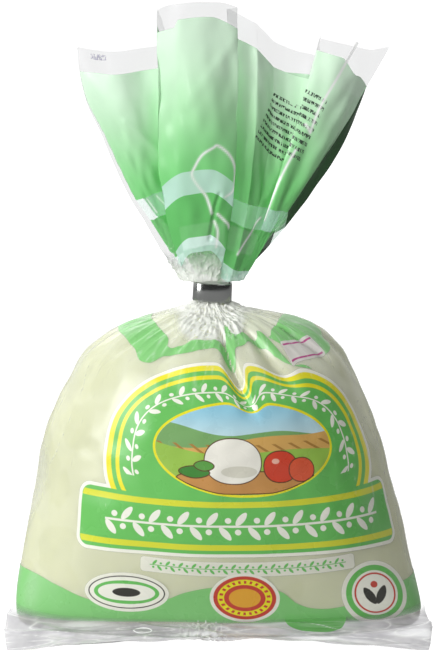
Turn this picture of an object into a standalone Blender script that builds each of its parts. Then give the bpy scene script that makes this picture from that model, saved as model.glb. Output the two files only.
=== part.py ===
"""A mozzarella ball in brine, sold in a clear bag that a metal clip closes.

Two pieces: the bag, which is one solid from its bottom seal through the filled
pouch and the gathered neck up to the fan of loose film, and the clip round the
neck. The pouch is solid because brine and cheese fill it. The fan is the open
mouth of the bag, so it is a thin pleated wall with nothing inside.

Metres, +Z up. The origin is the centre of the flat base. The front, where the
label goes, faces -Y, and +X is to its right.
"""

import math

import bmesh
import bpy
from mathutils import Matrix, Vector

MM = 0.001

# Where the clip grips the neck.
CLIP_BOTTOM = 112.8 * MM
CLIP_HEIGHT = 6.4 * MM
CLIP_X = -1.9 * MM
CLIP_TILT = math.radians(3)

# The filled pouch, in mm, from the base up to the clip: height, middle in x,
# half width, depth to the front, depth to the back, and how far forward the
# side folds lie.
POUCH = (
    (0.0, 0.0, 50.0, 20.0, 20.0, 4.0),
    (0.6, 0.0, 57.0, 23.0, 22.5, 6.0),
    (3.0, 0.2, 66.0, 26.0, 25.0, 9.0),
    (8.5, 0.3, 70.0, 28.8, 27.0, 11.0),
    (15.5, -0.3, 68.4, 31.6, 28.8, 9.0),
    (25.0, -0.8, 66.4, 34.2, 30.6, 5.0),
    (36.4, -1.0, 64.0, 36.2, 32.2, 2.0),
    (50.3, -1.5, 60.8, 37.2, 33.4, 0.0),
    (64.2, -2.0, 57.8, 36.9, 33.4, 0.0),
    (77.0, -2.2, 53.5, 34.9, 31.9, 0.0),
    (87.0, -1.6, 48.9, 31.8, 29.2, 0.0),
    (95.0, -1.3, 44.8, 27.6, 25.4, 0.0),
    (101.0, -0.6, 37.8, 22.4, 20.8, 0.0),
    (105.4, 0.1, 30.0, 16.8, 15.8, 0.0),
    (108.4, 0.0, 19.6, 11.4, 11.0, 0.0),
    (110.4, -1.2, 10.4, 7.2, 7.0, 0.0),
    (111.8, -1.9, 6.9, 5.3, 5.3, 0.0),
)
POUCH_STEPS = 2

# The gathered neck inside the clip is an oval bundle of film.
NECK_HALF_WIDTH = 5.1 * MM
NECK_HALF_DEPTH = 3.3 * MM

# Round a section: points, and shallow pleats that the neck draws in.
AROUND = 54
PLEATS = 9
PLEAT_DEPTH = 1.5 * MM
PLEAT_REACH = 26 * MM

# The fan: its thin wall, the height above the clip up to which its folds fill
# it, how far the film bulges as it leaves the clip, and the steps in a fold.
FAN_WALL = 1.0 * MM
FAN_FILLED = 32 * MM
FAN_FILLED_LEVELS = 5
FAN_OPEN_LEVELS = 7
FAN_BLOOM = 1.7
FOLD_STEPS = 48

# The folds of the fan, anticlockwise from its left corner as seen from above,
# in mm: where each one ends at the rim, across and towards the back, the
# length of film from the clip to there, and how soon it spreads above the
# clip (1 is straight, more is sooner).
FOLDS = (
    (-48.0, 1.0, 90.5, 1.5),
    (-35.0, -4.0, 91.0, 1.7),
    (-23.5, -0.5, 94.0, 3.0),
    (-20.5, -7.5, 98.5, 4.4),
    (-12.0, -12.0, 99.5, 4.0),
    (0.0, -12.0, 98.0, 3.6),
    (8.0, -6.5, 95.5, 4.2),
    (14.0, -1.0, 92.5, 3.0),
    (25.0, -0.5, 88.5, 1.7),
    (36.0, -4.5, 93.0, 1.2),
    (47.5, -8.0, 96.5, 1.15),
    (57.8, -1.0, 98.5, 1.3),
    (47.0, 6.5, 92.5, 1.5),
    (30.0, 6.5, 88.0, 1.6),
    (14.0, 8.5, 90.0, 1.7),
    (-3.0, 7.0, 93.0, 1.7),
    (-19.0, 8.5, 91.5, 1.7),
    (-35.0, 5.0, 90.0, 1.5),
)

# The bottom seal: two films welded flat, sloping down to the front. Its foot
# touches the ground at both ends and lifts off it between them, its root is
# where the weld ends, and its wing runs on into the pouch.
SEAL_THICKNESS = 0.9 * MM
SEAL_COLUMNS = 36
SEAL_FOOT = (72.4 * MM, -39 * MM, 0.0)
SEAL_FOOT_LIFT = 3.4 * MM
SEAL_ROOT = (73 * MM, -27.5 * MM, 4.4 * MM)
SEAL_ROOT_LIFT = 3.0 * MM
SEAL_WING_MIDDLE = (-19 * MM, 10 * MM)
SEAL_WING_EAR = (67.5 * MM, -9 * MM, 11.5 * MM)
SEAL_EAR_START = 0.7

# The clip: a strip of aluminium bent round the neck until its ends meet.
CLIP_WALL = 1.0 * MM
CLIP_GAP = 0.55 * MM
CLIP_EDGE = 0.2 * MM
CLIP_AROUND = 42
CLIP_OPENING = math.radians(7)


def material(name, colour, roughness, metallic=0.0):
    """A plain Principled material."""
    made = bpy.data.materials.new(name)
    made.use_nodes = True
    shader = made.node_tree.nodes["Principled BSDF"]
    shader.inputs["Base Color"].default_value = (*colour, 1)
    shader.inputs["Roughness"].default_value = roughness
    shader.inputs["Metallic"].default_value = metallic
    return made


def spline(before, start, end, after, share):
    """One value on the smooth curve from start to end."""
    return 0.5 * (
        2 * start
        + (end - before) * share
        + (2 * before - 5 * start + 4 * end - after) * share**2
        + (3 * start - before - 3 * end + after) * share**3
    )


def along(rows, steps):
    """The rows of an open table with smooth rows put between them."""
    filled = []
    for i in range(len(rows) - 1):
        near = [rows[max(i - 1, 0)], rows[i], rows[i + 1], rows[min(i + 2, len(rows) - 1)]]
        for step in range(steps):
            filled.append([spline(*values, step / steps) for values in zip(*near)])
    return filled + [list(rows[-1])]


def round_loop(points, count):
    """Count points on the closed smooth curve through these ones."""
    total = len(points)
    loop = []
    for i in range(count):
        place = i / count * total
        k = int(place)
        near = [points[(k + step) % total] for step in (-1, 0, 1, 2)]
        loop.append(Vector([spline(*values, place - k) for values in zip(*near)]))
    return loop


def pouch_ring(row):
    """One closed section of the pouch, anticlockwise from its left side fold."""
    height, middle, half_width, front, back, forward = (value * MM for value in row)
    under_clip = CLIP_BOTTOM - height
    pleat = PLEAT_DEPTH * max(0.0, 1 - under_clip / PLEAT_REACH) * min(1, half_width / (20 * MM))
    ring = []
    for i in range(AROUND):
        angle = math.pi + 2 * math.pi * i / AROUND
        across, deep = math.cos(angle), math.sin(angle)
        draw = 1 - pleat * (0.5 + 0.5 * math.cos(PLEATS * angle)) / half_width
        depth = (front - forward) * deep if deep < 0 else (back + forward) * deep
        ring.append(
            Vector((middle + half_width * across * draw, depth * draw - forward, height))
        )
    return ring


def neck_ring(height):
    """The oval bundle of film that the clip holds."""
    lean = math.tan(CLIP_TILT) * (height - CLIP_BOTTOM - CLIP_HEIGHT / 2)
    ring = []
    for i in range(AROUND):
        angle = math.pi + 2 * math.pi * i / AROUND
        across = NECK_HALF_WIDTH * math.cos(angle)
        ring.append(
            Vector((CLIP_X + lean + across, NECK_HALF_DEPTH * math.sin(angle), height))
        )
    return ring


def fold_path(fold, start):
    """The points that one fold passes on its way from the clip to the rim."""
    across, back, length, ease = fold
    end = Vector((across * MM, back * MM, 0))
    bloom = Vector((CLIP_X, 0, 0)).lerp(Vector((start.x, start.y, 0)), FAN_BLOOM)
    step = length * MM / FOLD_STEPS
    points = [start.copy()]
    for count in range(1, FOLD_STEPS + 1):
        flat = bloom.lerp(end, 1 - (1 - count / FOLD_STEPS) ** ease)
        moved = math.hypot(flat.x - points[-1].x, flat.y - points[-1].y)
        rise = math.sqrt(max(step**2 - moved**2, (0.2 * step) ** 2))
        points.append(Vector((flat.x, flat.y, points[-1].z + rise)))
    return points


def at_height(path, height):
    """Where a fold's path passes this height."""
    for lower, upper in zip(path, path[1:]):
        if upper.z >= height:
            return lower.lerp(upper, max(0.0, (height - lower.z) / (upper.z - lower.z)))
    return path[-1].copy()


def fan_rings():
    """The fan's outer wall: level rings while it is filled, then up to the rim."""
    top = CLIP_BOTTOM + CLIP_HEIGHT
    neck = neck_ring(top + 0.4 * MM)
    starts = [neck[round(i / len(FOLDS) * AROUND) % AROUND] for i in range(len(FOLDS))]
    paths = [fold_path(fold, start) for fold, start in zip(FOLDS, starts)]
    filled_to = top + FAN_FILLED
    rings = [neck]
    for level in range(1, FAN_FILLED_LEVELS + 1):
        height = top + FAN_FILLED * level / FAN_FILLED_LEVELS
        rings.append(round_loop([at_height(path, height) for path in paths], AROUND))
    for level in range(1, FAN_OPEN_LEVELS + 1):
        share = level / FAN_OPEN_LEVELS
        heights = [filled_to + (path[-1].z - filled_to) * share for path in paths]
        around = [at_height(path, height) for path, height in zip(paths, heights)]
        rings.append(round_loop(around, AROUND))
    return rings


def inner_ring(ring):
    """A ring moved in by the wall's thickness, across the ring's own plane."""
    moved = []
    for i, point in enumerate(ring):
        run = ring[(i + 1) % len(ring)] - ring[i - 1]
        inward = Vector((-run.y, run.x, 0)).normalized()
        moved.append(point + inward * FAN_WALL)
    return moved


def loft(mesh, rings):
    """Walls between closed rings, each of as many points."""
    loops = [[mesh.verts.new(point) for point in ring] for ring in rings]
    for lower, upper in zip(loops, loops[1:]):
        for i in range(len(lower)):
            j = (i + 1) % len(lower)
            mesh.faces.new((lower[i], lower[j], upper[j], upper[i]))
    return loops


def cap(mesh, loop):
    """Triangles across a ring, inside its outline as seen along its axis."""
    face = mesh.faces.new(loop)
    face.normal_update()
    bmesh.ops.triangulate(mesh, faces=[face], ngon_method="EAR_CLIP")


def new_object(name, mesh, finish):
    """A scene object from a bmesh, shaded smooth but for its sharp edges."""
    bmesh.ops.recalc_face_normals(mesh, faces=mesh.faces)
    data = bpy.data.meshes.new(name)
    mesh.to_mesh(data)
    mesh.free()
    data.shade_smooth()
    data.set_sharp_from_angle(angle=math.radians(40))
    data.materials.append(finish)
    made = bpy.data.objects.new(name, data)
    bpy.context.scene.collection.objects.link(made)
    return made


def seal_section(share):
    """The strip's cross-section, from -1 at its left ear to 1 at its right."""
    middle = 1 - share**2
    ear = max(0.0, (abs(share) - SEAL_EAR_START) / (1 - SEAL_EAR_START)) ** 2
    wing_y = SEAL_WING_MIDDLE[0] + (SEAL_WING_EAR[1] - SEAL_WING_MIDDLE[0]) * ear
    wing_z = SEAL_WING_MIDDLE[1] + (SEAL_WING_EAR[2] - SEAL_WING_MIDDLE[1]) * ear
    under = (
        Vector((share * SEAL_FOOT[0], SEAL_FOOT[1], SEAL_FOOT[2] + SEAL_FOOT_LIFT * middle)),
        Vector((share * SEAL_ROOT[0], SEAL_ROOT[1], SEAL_ROOT[2] + SEAL_ROOT_LIFT * middle)),
        Vector((share * SEAL_WING_EAR[0], wing_y, wing_z)),
    )
    lift = Vector((0, 0, SEAL_THICKNESS))
    return [*under, *(point + lift for point in reversed(under))]


def seal_strip(finish):
    """The welded strip under the pouch, with an ear at each end."""
    mesh = bmesh.new()
    shares = [2 * i / SEAL_COLUMNS - 1 for i in range(SEAL_COLUMNS + 1)]
    loops = loft(mesh, [seal_section(share) for share in shares])
    cap(mesh, loops[0])
    cap(mesh, loops[-1])
    made = new_object("seal_strip", mesh, finish)
    made.hide_render = True
    made.display_type = "WIRE"
    return made


def bag(finish):
    """Pouch, neck and fan as one lofted solid, joined to the bottom seal."""
    mesh = bmesh.new()
    rings = [pouch_ring(row) for row in along(POUCH, POUCH_STEPS)]
    rings.append(neck_ring(CLIP_BOTTOM - 0.4 * MM))
    outside = fan_rings()
    inside = [inner_ring(ring) for ring in outside[FAN_FILLED_LEVELS:]]
    loops = loft(mesh, rings + outside + inside[::-1])
    cap(mesh, loops[0])
    cap(mesh, loops[-1])
    made = new_object("bag", mesh, finish)
    join = made.modifiers.new("bottom seal", "BOOLEAN")
    join.operation = "UNION"
    join.solver = "EXACT"
    join.object = seal_strip(finish)
    return made


def clip_section(angle):
    """The strip's cross-section where it passes this angle round the neck."""
    ring = []
    half_height = CLIP_HEIGHT / 2
    corners = (
        (0, -half_height + CLIP_EDGE),
        (CLIP_EDGE, -half_height),
        (CLIP_WALL - CLIP_EDGE, -half_height),
        (CLIP_WALL, -half_height + CLIP_EDGE),
        (CLIP_WALL, half_height - CLIP_EDGE),
        (CLIP_WALL - CLIP_EDGE, half_height),
        (CLIP_EDGE, half_height),
        (0, half_height - CLIP_EDGE),
    )
    for out, height in corners:
        across = (NECK_HALF_WIDTH + CLIP_GAP + out) * math.cos(angle)
        deep = (NECK_HALF_DEPTH + CLIP_GAP + out) * math.sin(angle)
        ring.append(Vector((across, deep, height)))
    return ring


def clip(finish):
    """The bent strip, open by a hair at the back where its ends meet."""
    mesh = bmesh.new()
    start = math.pi / 2 + CLIP_OPENING / 2
    turn = 2 * math.pi - CLIP_OPENING
    rings = [clip_section(start + turn * i / CLIP_AROUND) for i in range(CLIP_AROUND + 1)]
    loops = loft(mesh, rings)
    cap(mesh, loops[0])
    cap(mesh, loops[-1])
    middle = Vector((CLIP_X, 0, CLIP_BOTTOM + CLIP_HEIGHT / 2))
    bmesh.ops.transform(
        mesh,
        matrix=Matrix.Translation(middle) @ Matrix.Rotation(CLIP_TILT, 4, "Y"),
        verts=mesh.verts,
    )
    return new_object("clip", mesh, finish)


for old in list(bpy.data.objects):
    bpy.data.objects.remove(old)
bag(material("film", (0.80, 0.86, 0.70), 0.15))
clip(material("aluminium", (0.62, 0.63, 0.63), 0.25, 1.0))
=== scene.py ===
import math

import bpy
import numpy as np
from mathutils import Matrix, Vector


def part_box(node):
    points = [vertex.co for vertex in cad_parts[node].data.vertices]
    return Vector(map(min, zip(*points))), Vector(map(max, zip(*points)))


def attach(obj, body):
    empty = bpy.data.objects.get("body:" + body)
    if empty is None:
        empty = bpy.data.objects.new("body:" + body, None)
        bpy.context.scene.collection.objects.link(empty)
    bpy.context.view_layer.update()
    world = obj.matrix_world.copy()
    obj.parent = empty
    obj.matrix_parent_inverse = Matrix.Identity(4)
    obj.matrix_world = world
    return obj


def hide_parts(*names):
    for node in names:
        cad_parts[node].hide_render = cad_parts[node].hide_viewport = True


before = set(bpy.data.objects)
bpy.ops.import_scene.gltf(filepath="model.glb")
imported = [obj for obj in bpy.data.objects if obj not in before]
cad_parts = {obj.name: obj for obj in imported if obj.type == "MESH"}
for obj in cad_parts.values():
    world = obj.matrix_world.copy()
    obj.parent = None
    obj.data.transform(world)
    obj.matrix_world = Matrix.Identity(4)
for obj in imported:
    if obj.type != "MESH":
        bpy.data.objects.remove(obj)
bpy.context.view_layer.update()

MM = 0.001


# ---------------------------------------------------------------------------
# The pouch film: a tube of clear film, 294 mm round, printed in green, that
# cheese and brine fill. It stands on its flattened base, and its shoulders
# are drawn up in pleats to the neck.
# ---------------------------------------------------------------------------

FILM_ROUND = 294.0
PRINT_HEIGHT = 150.0
POUCH_COLUMNS = 420
POUCH_ROWS = 200

# Sections of the filled pouch, in mm: height, middle in x, half width, depth
# to the front, depth to the back, and how far forward the side folds lie.
POUCH = (
    (0.0, 0.0, 60.0, 21.0, 20.0, 4.0),
    (0.6, 0.1, 65.0, 24.0, 22.5, 6.0),
    (3.0, 0.2, 68.4, 27.0, 25.0, 9.0),
    (8.5, 0.2, 69.2, 29.4, 27.0, 11.0),
    (15.5, -0.3, 68.4, 31.6, 28.8, 9.0),
    (25.0, -0.8, 66.4, 34.2, 30.6, 5.0),
    (36.4, -1.0, 64.0, 36.2, 32.2, 2.0),
    (50.3, -1.5, 60.8, 37.2, 33.4, 0.0),
    (64.2, -2.0, 57.8, 36.9, 33.4, 0.0),
    (77.0, -2.2, 53.5, 34.9, 31.9, 0.0),
    (87.0, -1.6, 48.9, 31.8, 29.2, 0.0),
    (95.0, -1.3, 44.8, 27.6, 25.4, 0.0),
    (101.0, -0.6, 37.8, 22.4, 20.8, 0.0),
    (105.2, 0.1, 29.8, 16.8, 15.8, 0.0),
    (108.1, 0.0, 20.0, 11.6, 11.0, 0.0),
    (109.9, -1.2, 11.2, 7.6, 7.2, 0.0),
    (112.6, -1.9, 5.8, 3.5, 3.5, 0.0),
)

# Folds that the neck draws in, in mm: where each one starts at the neck and
# ends on the pouch (round and up), how deep and how wide it is, and how far
# it drags the print down.
POUCH_FOLDS = (
    ((2.0, 118.0), (16.0, 84.0), 2.8, 3.2, 9.0),
    ((22.0, 116.0), (34.0, 91.0), 1.9, 5.5, 5.0),
    ((-14.0, 118.0), (-27.0, 100.0), 1.0, 4.0, 0.0),
    ((-44.0, 120.0), (-52.0, 98.0), 0.9, 4.5, 0.0),
    ((46.0, 119.0), (60.0, 92.0), 1.3, 4.0, 0.0),
    ((66.0, 119.0), (74.0, 88.0), 1.2, 5.0, 0.0),
    ((-68.0, 120.0), (-75.0, 92.0), 1.2, 5.0, 0.0),
    ((92.0, 119.0), (98.0, 90.0), 1.6, 5.0, 4.0),
    ((116.0, 119.0), (121.0, 84.0), 2.2, 4.5, 5.0),
    ((-140.0, 119.0), (-138.0, 88.0), 2.0, 5.0, 4.0),
    ((-118.0, 119.0), (-112.0, 94.0), 1.5, 4.0, 2.0),
    ((-94.0, 120.0), (-92.0, 92.0), 1.4, 5.0, 3.0),
)

# Where the crumpled, whitened film of the neck starts: (round, up), in mm.
CRUMPLE_EDGE = (
    (-147, 122), (-95, 125), (-48, 124), (-35, 120), (-24, 115), (-15, 112.5),
    (0, 112), (13, 113), (21, 120), (40, 125), (95, 125), (147, 122),
)

# The shoulders are pleated between these heights on the film, in mm, and the
# folds grow shallow where the pouch is narrower than these distances.
SHOULDER_PLEATS = (96, 124)
NARROW_FOLDS = 26
NARROW_PLEATS = 16


def smooth_rows(rows, places):
    """Values on the smooth curve through the rows, at these places along it."""
    rows = np.array(rows)
    last = len(rows) - 1
    start = np.clip(places.astype(int), 0, last - 1)
    share = (places - start)[:, None]
    before = rows[np.maximum(start - 1, 0)]
    first, second = rows[start], rows[start + 1]
    after = rows[np.minimum(start + 2, last)]
    return 0.5 * (
        2 * first
        + (second - before) * share
        + (2 * before - 5 * first + 4 * second - after) * share**2
        + (3 * first - before - 3 * second + after) * share**3
    )


def ease(values, start, end):
    """0 before start, 1 after end, and smooth between them."""
    share = np.clip((values - start) / (end - start), 0, 1)
    return share * share * (3 - 2 * share)


def ripple(points, size, seed, waves=48):
    """Even, seeded noise from -1 to 1 whose bumps are about this size apart."""
    draw = np.random.default_rng(seed)
    total = np.zeros(points.shape[:-1])
    for _ in range(waves):
        way = draw.normal(size=points.shape[-1])
        way *= 2 * math.pi / size * draw.uniform(0.6, 1.4) / np.linalg.norm(way)
        total += np.cos(points @ way + draw.uniform(0, 2 * math.pi))
    return total / math.sqrt(waves)


def creases(points, size, seed):
    """Noise from 0 to 1 with sharp ridges, as crumpled film has."""
    return np.clip(1 - np.abs(ripple(points, size, seed)) * 1.3, 0, 1)


def grid_normals(points, closed=True):
    """Outward normals of a grid of points, rows going up, columns round."""
    up = np.gradient(points, axis=0)
    if closed:
        across = np.roll(points, -1, axis=1) - np.roll(points, 1, axis=1)
    else:
        across = np.gradient(points, axis=1)
    normals = np.cross(across, up)
    return normals / np.maximum(np.linalg.norm(normals, axis=2, keepdims=True), 1e-12)


def hump(away, width):
    """1 in the middle of a ridge and almost 0 two widths away from it."""
    return np.exp(-((away / width) ** 2))


def fold_profile(around, up, start, end, width):
    """How deep one fold is at each place, from 0 to 1, and how far it drags."""
    run = np.clip((start[1] - up) / (start[1] - end[1]), -0.4, 1.3)
    centre = start[0] + (end[0] - start[0]) * run
    away = (around - centre + FILM_ROUND / 2) % FILM_ROUND - FILM_ROUND / 2
    spread = width * (0.55 + 0.6 * np.clip(run, 0, 1))
    sharp = np.where(away > 0, spread * 0.55, spread)
    along = ease(up, end[1] - 5, end[1] + 14) * (1 - ease(up, start[1], start[1] + 6))
    return along * hump(away, sharp), along * hump(away, 1.3 * spread)


def pouch_round(section, share):
    """Points round one section of the pouch, at even steps of its own length."""
    height, middle, half_width, front, back, forward = section
    angle = np.linspace(-1.5 * math.pi, 0.5 * math.pi, 1441)
    x = middle + half_width * np.cos(angle)
    deep = np.sin(angle)
    y = np.where(deep < 0, (front - forward) * deep, (back + forward) * deep) - forward
    run = np.concatenate([[0], np.cumsum(np.hypot(np.diff(x), np.diff(y)))])
    front_at = np.interp(-0.5 * math.pi, angle, run)
    place = np.mod(front_at + (share - 0.5) * run[-1], run[-1])
    heights = np.full(len(share), height)
    return np.stack([np.interp(place, run, x), np.interp(place, run, y), heights], 1)


def pouch_grid(columns, rows, inset=0.0):
    """Points of the pouch, and for each the film's place round and up, in mm."""
    fine = smooth_rows(POUCH, np.linspace(0, len(POUCH) - 1, 3200))
    steps = np.hypot(np.diff(fine[:, 0]), np.diff(fine[:, 3]))
    length = np.concatenate([[0], np.cumsum(steps)])
    up = np.linspace(0, length[-1], rows)
    sections = np.stack([np.interp(up, length, fine[:, i]) for i in range(6)], 1)
    share = np.arange(columns) / columns
    points = np.stack([pouch_round(section, share) for section in sections])
    around = np.tile((share - 0.5) * FILM_ROUND, (rows, 1))
    up = np.tile(up[:, None], (1, columns))
    print_up = up.copy()
    size = np.linalg.norm(points[:, :, :2] - np.array([-1.0, 0.0]), axis=2)
    push = np.zeros_like(up)
    for start, end, depth, width, drag in POUCH_FOLDS:
        groove, dragged = fold_profile(around, up, start, end, width)
        push -= depth * groove * np.clip(size / NARROW_FOLDS, 0, 1)
        print_up += drag * dragged
    push += 0.28 * ripple(points, 26, 3) * ease(up, 20, 40)
    push += 0.10 * ripple(points, 9, 4) * ease(up, 30, 60)
    pleats = creases(np.stack([around * 0.55, up * 0.16], 2), 4.6, 5)
    push += 0.45 * ease(up, *SHOULDER_PLEATS) * pleats * np.clip(size / NARROW_PLEATS, 0.25, 1)
    crumple_from = np.interp(around, *zip(*CRUMPLE_EDGE))
    crumple = ease(up - crumple_from, -2, 5)
    push += 0.65 * crumple * (creases(points * np.array([1, 1, 0.8]), 3.4, 6) - 0.45)
    push += 0.35 * crumple * (creases(points, 1.5, 7) - 0.45)
    marks = pouch_marks(points, around, up, crumple)
    marks["gathered"] = ease(up - crumple_from, -1, 3)
    points += grid_normals(points) * (push - inset)[:, :, None]
    points[:, :, 2] = np.maximum(points[:, :, 2], inset)
    return points, around, print_up, marks


def pouch_marks(points, around, up, crumple):
    """How far the film is whitened by creases, with painted glints and reflection streaks, and how far
    painted reflection brightens its sides.
    """
    from_front = np.abs(around)
    # Painted glints on the crumpled neck, and painted reflection streaks on the shoulders and beside the
    # label.
    crease_white_and_glints = 0.7 * crumple * creases(points * np.array([1, 1, 0.7]), 2.0, 8) ** 6
    short = creases(np.stack([around * 0.5, up * 0.11], 2), 3.0, 12) ** 9
    crease_white_and_glints = np.maximum(crease_white_and_glints, 0.3 * short * ease(up, 86, 104) * (1 - crumple))
    long = creases(np.stack([around * 0.30 - up * 0.02, up * 0.035], 2), 3.4, 14) ** 24
    beside_label = ease(from_front, 36, 60) * ease(up, 24, 70) * (1 - crumple)
    crease_white_and_glints = np.maximum(crease_white_and_glints, 0.45 * long * beside_label)
    # Painted reflection: whitish streaks down both sides of the pouch, fading out towards the back.
    sides = ease(from_front, 44, 74) * (1 - ease(from_front, 100, 120))
    streaky = 0.55 + 0.45 * ripple(np.stack([around * 0.35, up * 0.08], 2), 4.0, 13)
    painted_sheen = np.clip(sides * streaky * ease(up, 6, 30), 0, 1)
    return {"crease_white_and_glints": crease_white_and_glints, "painted_sheen": painted_sheen}


def film_mesh(name, points, across, up, marks, closed=True, caps=False):
    """A mesh from a grid of points in mm, with the film's places as its UV map
    and with an attribute for each kind of mark on the film."""
    rows, columns = points.shape[:2]
    mesh = bpy.data.meshes.new(name)
    index = np.arange(rows * columns).reshape(rows, columns)
    right = np.roll(index, -1, axis=1)
    across_right = np.roll(across, -1, axis=1)
    up_right = np.roll(up, -1, axis=1)
    if closed:
        across_right[:, -1] = across[:, -1] + (across[:, -1] - across[:, -2])
    else:
        index, right = index[:, :-1], right[:, :-1]
    count = index.shape[1]

    def round_each_face(here, beside):
        """The values at the four corners of every face."""
        corners = [here[:-1], beside[:-1], beside[1:], here[1:]]
        return np.stack(corners, 2)[:, :count]

    faces = round_each_face(index, right).reshape(-1, 4).tolist()
    u = round_each_face(across, across_right)
    v = round_each_face(up, up_right)
    corners = points.reshape(-1, 3)
    if caps:
        below, above = rows * columns, rows * columns + 1
        corners = np.concatenate([corners, points[:1].mean(1), points[-1:].mean(1)])
        for i in range(columns):
            faces.append([index[0, i - 1], below, index[0, i]])
            faces.append([index[-1, i - 1], index[-1, i], above])
    mesh.from_pydata((corners * MM).tolist(), [], faces)
    layer = mesh.uv_layers.new(name="film")
    places = np.zeros((len(mesh.loops), 2), np.float32)
    flat = np.stack([u / FILM_ROUND + 0.5, v / PRINT_HEIGHT], 3).reshape(-1, 2)
    places[: len(flat)] = flat
    layer.data.foreach_set("uv", places.ravel())
    for mark, amounts in marks.items():
        values = np.zeros(len(corners), np.float32)
        values[: rows * columns] = amounts.ravel()
        mesh.attributes.new(mark, "FLOAT", "POINT").data.foreach_set("value", values)
    mesh.shade_smooth()
    mesh.update()
    made = bpy.data.objects.new(name, mesh)
    bpy.context.scene.collection.objects.link(made)
    return made


def add_node(tree, kind, *values, **settings):
    """A new node, its inputs set or linked in order. None leaves one alone."""
    made = tree.nodes.new(kind)
    for name, value in settings.items():
        setattr(made, name, value)
    for socket, value in zip(made.inputs, values):
        if isinstance(value, bpy.types.NodeSocket):
            tree.links.new(value, socket)
        elif value is not None:
            socket.default_value = value
    return made


def calc(tree, operation, *values, clamp=False):
    """The result of one Math node."""
    return add_node(tree, "ShaderNodeMath", *values, operation=operation, use_clamp=clamp).outputs[0]


def ramp(tree, value, start, end, low=0.0, high=1.0):
    """value brought from start..end to low..high, held at the ends, and smooth."""
    settings = {"interpolation_type": "SMOOTHSTEP"}
    return add_node(tree, "ShaderNodeMapRange", value, start, end, low, high, **settings).outputs[0]


def blend_colours(tree, share, first, second):
    """first where share is 0 and second where it is 1."""
    made = tree.nodes.new("ShaderNodeMix")
    made.data_type = "RGBA"
    for socket, value in ((made.inputs[0], share), (made.inputs[6], first), (made.inputs[7], second)):
        if isinstance(value, bpy.types.NodeSocket):
            tree.links.new(value, socket)
        else:
            socket.default_value = value
    return made.outputs[2]


def srgb(red, green, blue):
    """A colour from its eight-bit values, as Blender's linear one."""
    parts = []
    for value in (red, green, blue):
        share = value / 255
        parts.append(share / 12.92 if share <= 0.04045 else ((share + 0.055) / 1.055) ** 2.4)
    return (*parts, 1.0)


def new_material(name):
    """A material, its node tree and its Principled shader."""
    made = bpy.data.materials.new(name)
    made.use_nodes = True
    return made, made.node_tree, made.node_tree.nodes["Principled BSDF"]


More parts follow.
